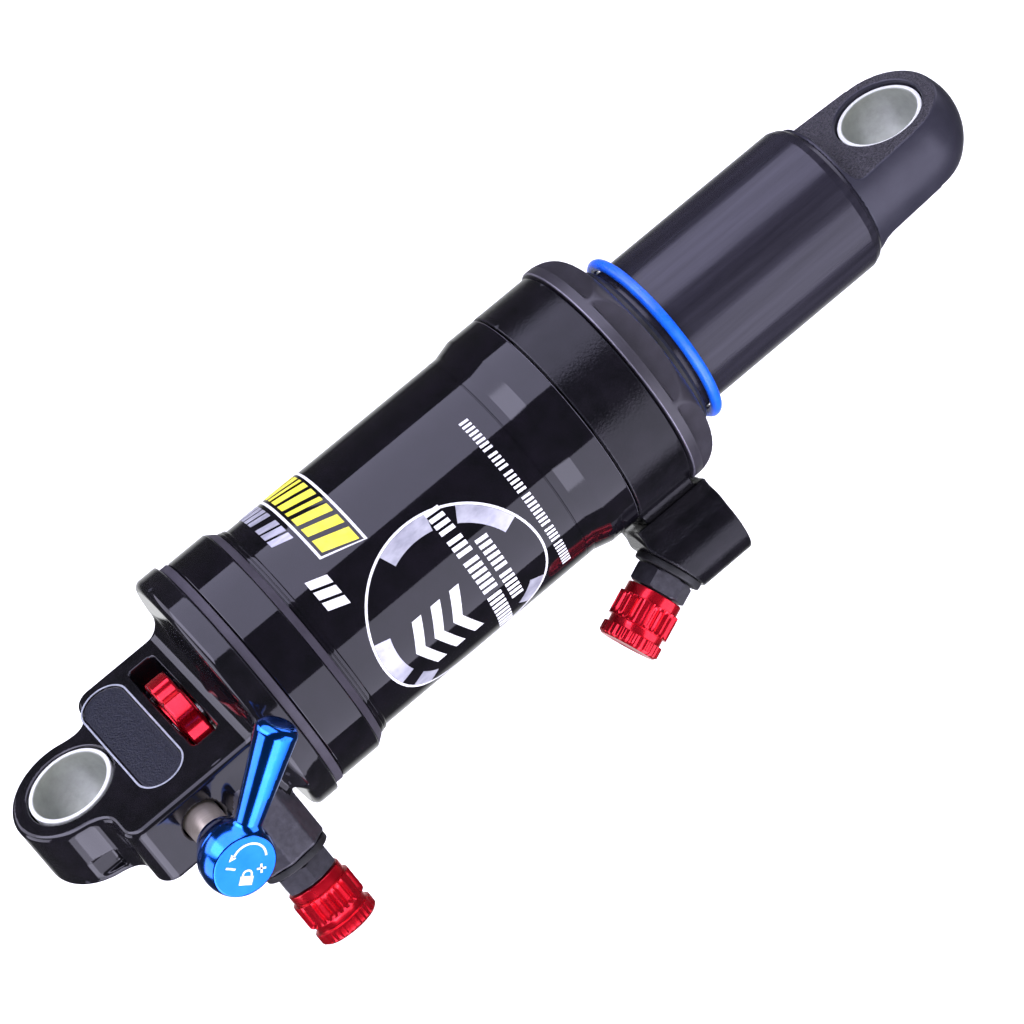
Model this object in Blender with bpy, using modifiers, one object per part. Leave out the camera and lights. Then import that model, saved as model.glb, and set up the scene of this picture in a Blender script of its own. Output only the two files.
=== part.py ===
"""Rear air shock for a mountain bike, 165 mm between eyes with 35 mm of travel.

The origin is the centre of the body eye. +X points from the shaft eye to the body eye, both eye
bores run along Y, and +Z is the side the lockout lever stands on. Sizes are in millimetres. Along
the shock a place is a station: its distance from the body eye towards the shaft eye, so x = -station.
"""
import math

import bmesh
import bpy
from mathutils import Matrix, Vector

MM = 0.001

# Driving dimensions
EYE_TO_EYE = 165.0
EYE_BORE_R = 6.35
BUSH_R = 7.15
BODY_EYE_WIDTH = 12.0
SHAFT_EYE_WIDTH = 12.5
CLEARANCE = 0.3
RUN = 0.15

# Body eyelet: ear, control block and flange
EAR_R = 10.35
BLOCK_LOW = -15.9
BLOCK_HIGH = 19.7
FLANGE = (26.8, 31.2)
FLANGE_R = 22.1
SPIGOT_END = 36.0
SPIGOT_R = 17.2

# Air can, collar and seal head
CAN = (33.0, 93.9)
CAN_R = 19.35
CAN_LIP_R = 21.2
CAN_FLARE_R = 20.2
CAN_BORE_R = 17.5
COLLAR = (94.2, 104.6)
COLLAR_R = 20.25
HEAD = (104.9, 111.0)
HEAD_R = 20.8

# Damper body, the shaft that slides in the can
SHAFT_R = 13.5
SHAFT_BORE_R = 11.0
SHAFT = (83.6, 151.6)
ROD_R = 5.0
RING_STATION = 114.7
RING_SECTION = 0.95

# Lockout lever on its pin, square to the shock
PIN_STATION = 11.8
PIN_R = 3.05
CAM_R = 2.2
CAM_THROW = 0.8
HUB_R = 5.8
HUB_Z = 31.0
LEVER_ANGLE = math.radians(221.0)

# Rebound wheel on the shock's axis
WHEEL_STATION = 20.15
WHEEL_R = 9.3
WHEEL_WIDTH = 3.6
WHEEL_TEETH = 8
WHEEL_HUB_R = 5.5

# Air valves: the main one leans out of the block, the second one out of the collar's boss
MAIN_TILT = math.radians(28.0)
MAIN_STATION = 19.1
MAIN_OFFSET = 12.3
MAIN_SEAT = 23.1
BOSS_ANGLE = math.radians(30.0)
BOSS_RADIUS = 28.5
BOSS_R = 7.0
BOSS = (92.2, 106.2)
SECOND_TILT = math.radians(21.5)
SECOND_STATION = 93.5
SECOND_HEIGHT = 29.95

# Facets round the shock: one count for all its turned pieces, so that they stay parallel
FACETS = 24

MATERIALS = {
    "black_gloss": ((0.008, 0.008, 0.01), 0.12, 0.0),
    "black_satin": ((0.02, 0.02, 0.022), 0.4, 0.3),
    "shaft_satin": ((0.03, 0.03, 0.036), 0.32, 0.6),
    "bush_polymer": ((0.55, 0.56, 0.52), 0.5, 0.0),
    "blue_anodised": ((0.01, 0.16, 0.75), 0.25, 0.9),
    "red_anodised": ((0.55, 0.01, 0.03), 0.3, 0.9),
    "blue_rubber": ((0.02, 0.14, 0.8), 0.45, 0.0),
    "steel": ((0.5, 0.47, 0.42), 0.3, 1.0),
    "brass": ((0.6, 0.42, 0.16), 0.3, 1.0),
    "aluminium": ((0.6, 0.61, 0.63), 0.35, 1.0),
    "rubber": ((0.015, 0.015, 0.015), 0.6, 0.0),
    "bronze_ptfe": ((0.25, 0.16, 0.08), 0.5, 0.2),
}


def clear_scene():
    for obj in list(bpy.data.objects):
        bpy.data.objects.remove(obj, do_unlink=True)


def new_collection(name):
    collection = bpy.data.collections.new(name)
    bpy.context.scene.collection.children.link(collection)
    return collection


def make_material(name):
    colour, roughness, metallic = MATERIALS[name]
    material = bpy.data.materials.get(name)
    if material is None:
        material = bpy.data.materials.new(name)
        material.use_nodes = True
        shader = material.node_tree.nodes["Principled BSDF"]
        shader.inputs["Base Color"].default_value = (*colour, 1.0)
        shader.inputs["Roughness"].default_value = roughness
        shader.inputs["Metallic"].default_value = metallic
        material.diffuse_color = (*colour, 1.0)
    return material


def add_object(name, mesh, material=None, parent=None):
    """Links a mesh as one sub-part, or as a cutter where it has no material."""
    obj = bpy.data.objects.new(name, mesh)
    if material:
        PARTS.objects.link(obj)
        obj.data.materials.append(make_material(material))
    else:
        CUTTERS.objects.link(obj)
        obj.hide_render = True
        obj.display_type = "WIRE"
    obj.parent = parent
    return obj


def point(station, y=0.0, z=0.0):
    return Vector((-station, y, z)) * MM


def aim(obj, origin, direction):
    """Puts the object's origin at a point, with its local Z along a direction."""
    obj.location = origin
    obj.rotation_euler = Vector(direction).to_track_quat("Z", "Y").to_euler()
    return obj


def turned(name, profile, material=None, steps=FACETS, origin=None, direction=(-1, 0, 0), parent=None):
    """Turns a closed outline of (distance along the axis, radius) points round an axis.

    The outline's edge on the axis, where it has one, is left out. Without an origin the distances
    are stations along the shock.
    """
    area = 0.0
    for (h0, r0), (h1, r1) in zip(profile, profile[1:] + profile[:1]):
        area += r0 * h1 - r1 * h0
    points = profile if area < 0 else profile[::-1]
    mesh = bpy.data.meshes.new(name)
    bm = bmesh.new()
    verts = [bm.verts.new((r * MM, 0.0, h * MM)) for h, r in points]
    for first, second in zip(verts, verts[1:] + verts[:1]):
        if first.co.x > 0 or second.co.x > 0:
            bm.edges.new((first, second))
    bm.to_mesh(mesh)
    bm.free()
    obj = add_object(name, mesh, material, parent)
    screw = obj.modifiers.new("turn", "SCREW")
    screw.steps = steps
    screw.render_steps = steps
    screw.use_merge_vertices = True
    screw.merge_threshold = 0.000001
    screw.use_smooth_shade = False
    return aim(obj, origin or Vector(), direction)


def ring(name, start, end, inner, outer, material, chamfer=0.0, parent=None):
    """A ring or tube on the shock's axis between two stations."""
    profile = [(start, inner), (start, outer - chamfer), (start + chamfer, outer),
               (end - chamfer, outer), (end, outer - chamfer), (end, inner)]
    if not chamfer:
        profile = [(start, inner), (start, outer), (end, outer), (end, inner)]
    return turned(name, profile, material, parent=parent)


def o_ring(name, station, centre_radius, section, material, sides=6, parent=None):
    profile = []
    for i in range(sides):
        angle = 2 * math.pi * (i + 0.5) / sides
        profile.append((station + section * math.cos(angle), centre_radius + section * math.sin(angle)))
    return turned(name, profile, material, parent=parent)


def rod(name, start, end, radius, material=None, sides=FACETS):
    """A round bar between two points."""
    axis = end - start
    mesh = bpy.data.meshes.new(name)
    bm = bmesh.new()
    bmesh.ops.create_cone(bm, cap_ends=True, segments=sides, radius1=radius * MM, radius2=radius * MM,
                          depth=axis.length)
    bm.to_mesh(mesh)
    bm.free()
    return aim(add_object(name, mesh, material), (start + end) / 2, axis)


def box(name, low, high, material=None):
    """A box between two corners given in millimetres."""
    size = [(b - a) * MM for a, b in zip(low, high)]
    centre = Vector([(a + b) / 2 * MM for a, b in zip(low, high)])
    mesh = bpy.data.meshes.new(name)
    bm = bmesh.new()
    bmesh.ops.create_cube(bm, size=1.0, matrix=Matrix.Diagonal((*size, 1.0)))
    bm.to_mesh(mesh)
    bm.free()
    obj = add_object(name, mesh, material)
    obj.location = centre
    return obj


def boolean(obj, other, operation="DIFFERENCE"):
    modifier = obj.modifiers.new(operation.lower(), "BOOLEAN")
    modifier.operation = operation
    modifier.object = other
    modifier.solver = "EXACT"
    return modifier


def arc(centre, radius, start, end, count):
    """Points on an arc in the X-Z plane, angles in degrees from +X towards +Z."""
    points = []
    for i in range(count + 1):
        angle = math.radians(start + (end - start) * i / count)
        points.append((centre[0] + radius * math.cos(angle), centre[1] + radius * math.sin(angle)))
    return points


def plate(name, outline, half_thickness, material=None):
    """A flat outline of (x, z) points as a 2D curve, thickened both ways along Y, made a mesh."""
    curve = bpy.data.curves.new(name, "CURVE")
    curve.dimensions = "2D"
    curve.fill_mode = "BOTH"
    curve.extrude = half_thickness * MM
    spline = curve.splines.new("POLY")
    spline.points.add(len(outline) - 1)
    for target, (x, z) in zip(spline.points, outline):
        target.co = (x * MM, z * MM, 0.0, 1.0)
    spline.use_cyclic_u = True
    flat = bpy.data.objects.new(name + "_outline", curve)
    CUTTERS.objects.link(flat)
    flat.rotation_euler = (math.pi / 2, 0.0, 0.0)
    bpy.context.view_layer.update()
    mesh = bpy.data.meshes.new_from_object(flat.evaluated_get(bpy.context.evaluated_depsgraph_get()))
    matrix = flat.matrix_world.copy()
    bpy.data.objects.remove(flat, do_unlink=True)
    bm = bmesh.new()
    bm.from_mesh(mesh)
    bmesh.ops.remove_doubles(bm, verts=bm.verts, dist=0.000001)
    bm.to_mesh(mesh)
    bm.free()
    obj = add_object(name, mesh, material)
    obj.matrix_world = matrix
    return obj


def smooth(obj):
    for polygon in obj.data.polygons:
        polygon.use_smooth = True
    obj.data.set_sharp_from_angle(angle=math.radians(35))


# ---------------------------------------------------------------- the fixed half

def main_valve_frame():
    """The main valve's direction, and the foot of its axis nearest to the shock's axis."""
    direction = Vector((0, math.cos(MAIN_TILT), math.sin(MAIN_TILT)))
    foot = point(MAIN_STATION) + Vector((0, -direction.z, direction.y)) * MAIN_OFFSET * MM
    return foot, direction


def second_valve_frame():
    """The second valve's seat and its direction, in the plane of the collar's boss."""
    outward = Vector((0, math.cos(BOSS_ANGLE), math.sin(BOSS_ANGLE)))
    direction = Vector((1, 0, 0)) * math.cos(SECOND_TILT) + outward * math.sin(SECOND_TILT)
    return point(SECOND_STATION) + outward * SECOND_HEIGHT * MM, direction


def body_eyelet_outline():
    """The ear runs into the control block through a hollow curve below and a step above."""
    outline = arc((0, 0), EAR_R, -90, 81, 15)
    outline += [(-0.1, 13.4), (-1.2, 16.8)]
    outline += arc((-4.6, BLOCK_HIGH - 3.4), 3.4, 20, 90, 5)
    outline += [(-FLANGE[0] - 1.5, BLOCK_HIGH), (-FLANGE[0] - 1.5, BLOCK_LOW)]
    outline += arc((-11.4, BLOCK_LOW + 3.0), 3.0, 270, 342, 4)
    outline += arc((-3.3, BLOCK_LOW + 0.4), 5.5, 162, 78, 6)
    return outline


def build_body_eyelet():
    eyelet = plate("eyelet_body", body_eyelet_outline(), BODY_EYE_WIDTH / 2, "black_gloss")
    bevel = eyelet.modifiers.new("edges", "BEVEL")
    bevel.width = 0.9 * MM
    bevel.segments = 1
    bevel.limit_method = "ANGLE"
    bevel.angle_limit = math.radians(50)
    groove = (33.3, 35.1)
    flange = turned("flange_cut", [
        (FLANGE[0] - 2.5, 0), (FLANGE[0] - 2.5, 16.0), (FLANGE[0], 18.6), (FLANGE[0], FLANGE_R - 1.3),
        (FLANGE[0] + 1.3, FLANGE_R), (FLANGE[1], FLANGE_R), (FLANGE[1], SPIGOT_R), (groove[0], SPIGOT_R),
        (groove[0], 15.3), (groove[1], 15.3), (groove[1], SPIGOT_R), (SPIGOT_END, SPIGOT_R),
        (SPIGOT_END, 0)])
    boolean(eyelet, flange, "UNION")
    foot, direction = main_valve_frame()
    boss = rod("valve_boss_cut", foot + direction * 4 * MM, foot + direction * MAIN_SEAT * MM, 6.1, sides=8)
    boss.rotation_euler.rotate_axis("Z", math.radians(11))
    boolean(eyelet, boss, "UNION")
    eye = rod("body_eye_cut", point(0, -9), point(0, 9), BUSH_R + CLEARANCE)
    boolean(eyelet, eye)
    pin = rod("pin_bore_cut", point(PIN_STATION, 0, -5.0), point(PIN_STATION, 0, 24), PIN_R + CLEARANCE)
    boolean(eyelet, pin)
    pocket = rod("wheel_pocket_cut", point(WHEEL_STATION - 2.4), point(WHEEL_STATION + 2.4),
                 WHEEL_R + 0.6)
    boolean(eyelet, pocket)
    window = box("wheel_window_cut", (-WHEEL_STATION - 2.4, -12, -12), (-WHEEL_STATION + 2.4, -1, 12))
    boolean(eyelet, window)
    passage = turned("passage_cut", [(13.0, 0), (13.0, 2.7), (24.5, 2.7), (24.5, ROD_R + CLEARANCE),
                                     (SPIGOT_END + 2, ROD_R + CLEARANCE), (SPIGOT_END + 2, 0)])
    boolean(eyelet, passage)
    stem = rod("stem_bore_cut", foot + direction * 14.5 * MM, foot + direction * (MAIN_SEAT + 2) * MM, 3.3)
    boolean(eyelet, stem)
    panel = plate("panel_cut", arc((-11.95, 10.2), 3.9, 0, 180, 8) + arc((-11.95, -9.5), 3.9, 180, 360, 8), 2)
    panel.location.y = -(BODY_EYE_WIDTH / 2 - 0.3 + 2) * MM
    boolean(eyelet, panel)
    side_pocket = box("side_pocket_cut", (0.8, 0.8, 8.9), (5.8, 4.6, 14.0))
    boolean(eyelet, side_pocket)
    smooth(eyelet)


def build_body_seals():
    turned("body_eye_bush", [(-BODY_EYE_WIDTH / 2, EYE_BORE_R), (-BODY_EYE_WIDTH / 2, BUSH_R),
                             (BODY_EYE_WIDTH / 2, BUSH_R), (BODY_EYE_WIDTH / 2, EYE_BORE_R)],
           "bush_polymer", direction=(0, 1, 0), origin=point(0))
    ring("flange_gasket", FLANGE[1] + 0.2, CAN[0] - 0.2, SPIGOT_R + CLEARANCE, 21.2, "rubber")
    o_ring("eyelet_seal", 34.2, 16.4, 0.75, "rubber")
    ring("bottom_out_bumper", SPIGOT_END + 0.2, SPIGOT_END + 2.4, 8.0, 14.0, "rubber", 0.5)


def build_can():
    turned("air_can", [
        (CAN[0], CAN_BORE_R), (CAN[0], CAN_LIP_R - 0.4), (CAN[0] + 0.4, CAN_LIP_R), (40.1, CAN_LIP_R),
        (41.6, CAN_R + 0.6), (42.9, CAN_R + 0.35), (43.1, CAN_R), (86.9, CAN_R), (88.9, CAN_FLARE_R), (CAN[1], CAN_FLARE_R),
        (CAN[1], 18.7), (102.7, 18.7), (102.7, CAN_BORE_R)], "black_gloss")
    collar = turned("valve_collar", [
        (COLLAR[0], 19.0), (COLLAR[0], COLLAR_R), (COLLAR[1], COLLAR_R), (COLLAR[1], CAN_BORE_R),
        (103.1, CAN_BORE_R), (103.1, 19.0)], "black_satin")
    outward = Vector((0, math.cos(BOSS_ANGLE), math.sin(BOSS_ANGLE)))
    barrel = rod("boss_barrel_cut", point(BOSS[0]) + outward * BOSS_RADIUS * MM,
                 point(BOSS[1]) + outward * BOSS_RADIUS * MM, BOSS_R, sides=32)
    boolean(collar, barrel, "UNION")
    for name, half, side, station, low, high in (
            ("root", 4.9, 5.3, (COLLAR[0] + COLLAR[1]) / 2, 19.3, 24.0),
            ("web", 6.9, 5.7, (BOSS[0] + BOSS[1]) / 2, 21.15, 28.1)):
        reach = (high - low) / 2
        block = box(f"boss_{name}_cut", (-half, -side, -reach), (half, side, reach))
        block.location = point(station) + outward * (low + high) / 2 * MM
        block.rotation_euler = (BOSS_ANGLE - math.pi / 2, 0.0, 0.0)
        boolean(collar, block, "UNION")
    seat, direction = second_valve_frame()
    face = box("boss_face_cut", (-9, -9, -0.6), (9, 9, 11))
    aim(face, seat, direction)
    for vertex in face.data.vertices:
        vertex.co.z += 5.2 * MM
    boolean(collar, face)
    stem = rod("boss_bore_cut", seat - direction * 8.5 * MM, seat + direction * 2 * MM, 3.3)
    boolean(collar, stem)
    smooth(collar)


def build_seal_head():
    head = turned("seal_head", [
        (96.0, SHAFT_R + 0.3), (96.0, SPIGOT_R), (HEAD[0], SPIGOT_R), (HEAD[0], HEAD_R - 0.3),
        (HEAD[0] + 0.3, HEAD_R), (106.2, HEAD_R), (108.3, 19.6), (110.0, 17.9), (HEAD[1], 16.8),
        (HEAD[1], 15.8), (108.6, 15.8), (108.6, SHAFT_R + 0.3), (107.4, SHAFT_R + 0.3), (107.4, 14.8),
        (102.6, 14.8), (102.6, SHAFT_R + 0.3), (101.2, SHAFT_R + 0.3), (101.2, 15.7), (98.8, 15.7),
        (98.8, SHAFT_R + 0.3)], "black_satin")
    for i in range(3):
        angle = math.radians(60 * i + 10)
        for side in (-1, 1):
            flat = box(f"wrench_flat_cut_{i}_{side}", (-3.5, -8, -3), (3.5, 8, 3))
            outward = Vector((0, math.cos(angle), math.sin(angle))) * side
            flat.location = point(110.4) + outward * 21.1 * MM
            flat.rotation_euler = (angle - math.pi / 2, 0.0, 0.0)
            boolean(head, flat)
    ring("wiper_seal", 108.9, 112.8, SHAFT_R + RUN, 15.4, "rubber", 0.5)
    ring("slide_bush", 102.8, 107.2, SHAFT_R + RUN, 14.5, "bronze_ptfe")
    o_ring("body_seal", 100.0, 14.65, 0.85, "rubber")
    ring("top_out_bumper", 93.2, 95.8, 14.0, 17.1, "rubber", 0.5)


def build_damper_internals():
    turned("damper_rod", [
        (25.0, 2.75), (25.0, ROD_R), (88.6, ROD_R), (88.6, 3.6), (100.2, 3.6), (100.2, 2.75)],
        "steel")
    turned("compression_shims", [
        (88.8, 3.9), (88.8, 6.0), (89.2, 6.0), (89.2, 7.5), (89.6, 7.5), (89.6, 9.2), (90.1, 9.2),
        (90.1, 3.9)], "steel")
    turned("oil_piston", [
        (90.4, 3.9), (90.4, 10.6), (91.6, 10.6), (91.6, 9.9), (94.2, 9.9), (94.2, 10.6), (95.4, 10.6),
        (95.4, 3.9)], "aluminium")
    ring("piston_band", 91.75, 94.05, 10.05, SHAFT_BORE_R - RUN, "bronze_ptfe")
    turned("rebound_shims", [
        (95.7, 3.9), (95.7, 8.8), (96.1, 8.8), (96.1, 7.0), (96.5, 7.0), (96.5, 5.6), (96.9, 5.6),
        (96.9, 3.9)], "steel")
    nut = rod("piston_nut", point(97.2), point(100.0), 6.4, "steel", 6)
    boolean(nut, rod("nut_bore_cut", point(96.0), point(101.0), 3.9))


# ---------------------------------------------------------------- controls

def build_lever():
    axis = point(PIN_STATION)
    pin = turned("lever_pin", [(-4.6, 0), (-4.6, PIN_R), (28.6, PIN_R), (28.6, 0)], "steel", 16, axis, (0, 0, 1))
    relief = turned("cam_relief_cut", [(-2.6, CAM_R), (-2.6, 6.0), (2.6, 6.0), (2.6, CAM_R)], None, 24,
                    axis + Vector((CAM_THROW, 0, 0)) * MM, (0, 0, 1))
    boolean(pin, relief)

    hub = [(24.9, PIN_R + CLEARANCE), (24.9, 3.6)]
    for i in range(6):
        angle = math.radians(-38 + i * 13.2)
        hub.append((HUB_Z + HUB_R * math.sin(angle), HUB_R * math.cos(angle)))
    hub += [(33.75, 5.1), (33.75, 0), (29.0, 0), (29.0, PIN_R + CLEARANCE)]
    lever = turned("lockout_lever", hub, "blue_anodised", 20, axis, (0, 0, 1))
    heading = Vector((math.cos(LEVER_ANGLE), math.sin(LEVER_ANGLE), 0))
    arm = [(4.3, 0), (4.3, 1.95), (19.6, 3.2), (21.2, 3.1), (22.2, 2.3), (22.4, 0)]
    bar = turned("lever_arm_cut", arm, None, 12, point(PIN_STATION, 0, HUB_Z), heading)
    boolean(lever, bar, "UNION")
    smooth(lever)


def build_rebound_wheel():
    start = WHEEL_STATION - WHEEL_WIDTH / 2
    end = start + WHEEL_WIDTH
    wheel = turned("rebound_wheel", [
        (start - 0.4, 2.6), (start - 0.4, WHEEL_HUB_R), (start, WHEEL_HUB_R), (start, WHEEL_R - 0.4),
        (start + 0.4, WHEEL_R), (end - 0.4, WHEEL_R), (end, WHEEL_R - 0.4), (end, WHEEL_HUB_R),
        (end + 0.4, WHEEL_HUB_R), (end + 0.4, 2.6)], "red_anodised")
    for i in range(WHEEL_TEETH):
        angle = 2 * math.pi * i / WHEEL_TEETH + math.radians(7.9)
        outward = Vector((0, -math.cos(angle), math.sin(angle)))
        gap = rod(f"wheel_gap_cut_{i}", point(WHEEL_STATION - 3) + outward * (WHEEL_R + 0.9) * MM,
                  point(WHEEL_STATION + 3) + outward * (WHEEL_R + 0.9) * MM, 2.0, sides=12)
        boolean(wheel, gap)
    ring("rebound_needle", 15.2, 98.0, 1.45, 2.3, "steel")
    turned("lockout_rod", [(14.3, 0), (14.3, 1.1), (99.0, 1.1), (99.0, 0)], "steel", 16)


def build_valve(prefix, seat, direction):
    """One air valve: washer, hexagonal stem, core, sprung pin, cap seal and screw-on cap."""
    turned(prefix + "_washer", [(0.05, 3.3), (0.05, 5.7), (1.2, 5.7), (1.2, 3.3)], "rubber", 20,
           seat, direction)
    base = 1.4
    hexagon = rod(prefix + "_stem", seat + direction * base * MM, seat + direction * (base + 3.2) * MM,
                  4.9, "black_satin", 6)
    thread = rod(prefix + "_thread_cut", seat - direction * 6.0 * MM, seat + direction * 11.2 * MM, 2.9)
    boolean(hexagon, thread, "UNION")
    throat = rod(prefix + "_throat_cut", seat - direction * 7.0 * MM, seat + direction * 12.2 * MM, 2.0,
                 sides=24)
    boolean(hexagon, throat)
    turned(prefix + "_core", [(1.0, 0.75), (1.0, 1.7), (9.6, 1.7), (9.6, 0.75)], "brass", 20, seat,
           direction)
    turned(prefix + "_core_pin", [(0.2, 0), (0.2, 0.45), (10.9, 0.45), (10.9, 0)], "brass", 12, seat,
           direction)
    cap_start = base + 3.5
    cap = turned(prefix + "_cap", [
        (cap_start, 3.2), (cap_start, 4.67), (cap_start + 1.8, 4.67), (cap_start + 1.8, 5.15),
        (cap_start + 5.9, 5.15), (cap_start + 5.9, 4.67), (cap_start + 7.3, 4.67),
        (cap_start + 7.3, 5.15), (cap_start + 8.9, 5.15), (cap_start + 9.4, 4.7), (cap_start + 9.4, 0),
        (cap_start + 8.4, 0), (cap_start + 8.4, 3.2)], "red_anodised", 20, seat, direction)
    smooth(cap)
    turned(prefix + "_cap_seal", [(cap_start + 6.6, 1.2), (cap_start + 6.6, 3.0), (cap_start + 8.1, 3.0),
                                  (cap_start + 8.1, 1.2)], "rubber", 20, seat, direction)


# ---------------------------------------------------------------- the sliding half

def build_shaft():
    slider = bpy.data.objects.new("slider", None)
    PARTS.objects.link(slider)
    turned("damper_body", [
        (SHAFT[0], SHAFT_BORE_R), (SHAFT[0], SHAFT_R), (150.1, SHAFT_R), (151.0, SHAFT_R - 0.5),
        (SHAFT[1], SHAFT_R - 1.3), (SHAFT[1], SHAFT_BORE_R)], "shaft_satin", parent=slider)
    ball_centre = EYE_TO_EYE + 0.3
    ball_r = 11.3
    profile = [(145.5, 0), (145.5, 10.7), (151.9, 10.7), (151.9, 12.1), (160.0, 11.5)]
    for i in range(6):
        angle = math.radians(90 * i / 5)
        profile.append((ball_centre + ball_r * math.sin(angle), ball_r * math.cos(angle)))
    profile[-1] = (ball_centre + ball_r, 0)
    eyelet = turned("shaft_eyelet", profile, "shaft_satin", parent=slider)
    half = SHAFT_EYE_WIDTH / 2
    for side in (-1, 1):
        near, far = sorted((side * half, side * 16))
        flat = box(f"eye_flat_cut_{side}", (-182, near, -14), (-152.4, far, 11))
        bevel = flat.modifiers.new("corner", "BEVEL")
        bevel.width = 3.0 * MM
        bevel.segments = 3
        bevel.limit_method = "WEIGHT"
        weights = flat.data.attributes.new("bevel_weight_edge", "FLOAT", "EDGE")
        for edge in flat.data.edges:
            first, second = (flat.data.vertices[i].co for i in edge.vertices)
            corner = min(first.x, second.x) > 0 and min(first.z, second.z) > 0
            weights.data[edge.index].value = 1.0 if corner else 0.0
        boolean(eyelet, flat)
    bore = rod("shaft_eye_cut", point(EYE_TO_EYE, -16), point(EYE_TO_EYE, 16), BUSH_R + CLEARANCE)
    boolean(eyelet, bore)
    smooth(eyelet)
    sunk = half - 0.8
    turned("shaft_eye_bush", [(-sunk, EYE_BORE_R), (-sunk, BUSH_R), (sunk, BUSH_R), (sunk, EYE_BORE_R)],
           "bush_polymer", direction=(0, 1, 0), origin=point(EYE_TO_EYE), parent=slider)
    turned("bearing_head", [
        (74.0, ROD_R + 0.3), (74.0, 17.0), (76.4, 17.0), (76.4, 15.2), (79.0, 15.2), (79.0, 17.0),
        (80.0, 17.0), (80.0, 16.2), (82.2, 16.2), (82.2, 17.0), (83.3, 17.0), (83.3, 10.7),
        (87.5, 10.7), (87.5, ROD_R + 0.3), (80.4, ROD_R + 0.3), (80.4, 7.1), (77.8, 7.1),
        (77.8, ROD_R + 0.3)], "aluminium", parent=slider)
    ring("air_piston_seal", 76.6, 78.8, 15.4, CAN_BORE_R - RUN, "rubber", 0.4, slider)
    ring("glide_band", 80.15, 82.05, 16.35, CAN_BORE_R - RUN, "bronze_ptfe", parent=slider)
    ring("rod_seal", 78.0, 80.2, ROD_R + RUN, 6.9, "rubber", 0.3, slider)
    turned("floating_piston", [(131.0, 0), (131.0, 10.6), (132.8, 10.6), (132.8, 9.3), (135.2, 9.3),
                               (135.2, 10.6), (137.0, 10.6), (137.0, 0)], "aluminium", parent=slider)
    o_ring("floating_piston_seal", 134.0, 10.1, 0.72, "rubber", parent=slider)
    o_ring("travel_ring", RING_STATION, SHAFT_R + RUN + RING_SECTION + 0.15, RING_SECTION,
           "blue_rubber", 8)


clear_scene()
PARTS = new_collection("rear_shock")
CUTTERS = new_collection("cutters")
build_body_eyelet()
build_body_seals()
build_can()
build_seal_head()
build_damper_internals()
build_lever()
build_rebound_wheel()
valve_foot, valve_direction = main_valve_frame()
build_valve("main_valve", valve_foot + valve_direction * MAIN_SEAT * MM, valve_direction)
second_seat, second_direction = second_valve_frame()
build_valve("second_valve", second_seat - second_direction * 0.6 * MM, second_direction)
build_shaft()
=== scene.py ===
"""The looks of the rear air shock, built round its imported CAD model.

Lengths in the builders are millimetres and become metres as a mesh is made. Along the shock a place
is a station, its distance from the body eye, so x = -station. Angles round the shock start at -Y
and turn towards +Z.
"""
import math

import bmesh
import bpy
import numpy as np
from mathutils import Matrix, Vector


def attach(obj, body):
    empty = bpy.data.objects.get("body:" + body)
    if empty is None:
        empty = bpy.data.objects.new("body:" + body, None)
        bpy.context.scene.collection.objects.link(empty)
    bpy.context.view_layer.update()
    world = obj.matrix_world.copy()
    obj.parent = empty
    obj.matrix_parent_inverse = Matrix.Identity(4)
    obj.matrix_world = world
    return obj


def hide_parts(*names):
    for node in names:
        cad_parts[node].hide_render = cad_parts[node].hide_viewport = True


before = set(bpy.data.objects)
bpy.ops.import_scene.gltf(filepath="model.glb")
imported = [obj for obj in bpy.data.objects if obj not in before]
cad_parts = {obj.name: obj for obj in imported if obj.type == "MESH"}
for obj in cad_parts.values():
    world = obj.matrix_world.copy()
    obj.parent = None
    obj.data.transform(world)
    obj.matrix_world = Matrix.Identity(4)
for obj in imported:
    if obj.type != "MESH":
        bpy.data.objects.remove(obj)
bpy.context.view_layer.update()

MM = 0.001

# The places and sizes that the CAD model settles
SHAFT_EYE_STATION = 165.0
EYE_HALF_WIDTH = 6.0
BUSH_GAP_R = 7.45
CAN_R = 19.35
SHAFT_R = 13.5
RING_STATION = 114.7
PIN_STATION = 11.8
WHEEL_STATION = 20.15
WHEEL_SLOT = (WHEEL_STATION - 2.4, WHEEL_STATION + 2.4)
LEVER_ANGLE = math.radians(221.0)
HUB_Z = 31.0
HUB_FACE_Z = 33.75
MAIN_TILT = math.radians(28.0)
MAIN_DIRECTION = Vector((0, math.cos(MAIN_TILT), math.sin(MAIN_TILT)))
MAIN_FOOT = Vector((-19.1, -math.sin(MAIN_TILT) * 12.3, math.cos(MAIN_TILT) * 12.3))
BOSS_ANGLE = math.radians(30.0)
BOSS_OUTWARD = Vector((0, math.cos(BOSS_ANGLE), math.sin(BOSS_ANGLE)))
SECOND_TILT = math.radians(21.5)
SECOND_DIRECTION = Vector((1, 0, 0)) * math.cos(SECOND_TILT) + BOSS_OUTWARD * math.sin(SECOND_TILT)
SECOND_SEAT = Vector((-93.5, 0, 0)) + BOSS_OUTWARD * 29.95

# The studio, in metres
SHOCK_MIDDLE_X = -0.08
FLOOR_DROP = 0.14
VIOLET = (0.80, 0.78, 1.0)
CAMERA_PLACE = (0.00273, -0.34690, 0.43060)
CAMERA_RIGHT = Vector((-0.75885, 0.42267, 0.49548))
CAMERA_DOWN = Vector((0.63441, 0.65173, 0.41566))
CAMERA_FORWARD = Vector((-0.14723, 0.62976, -0.76271))


# ---------------------------------------------------------------- materials

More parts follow.
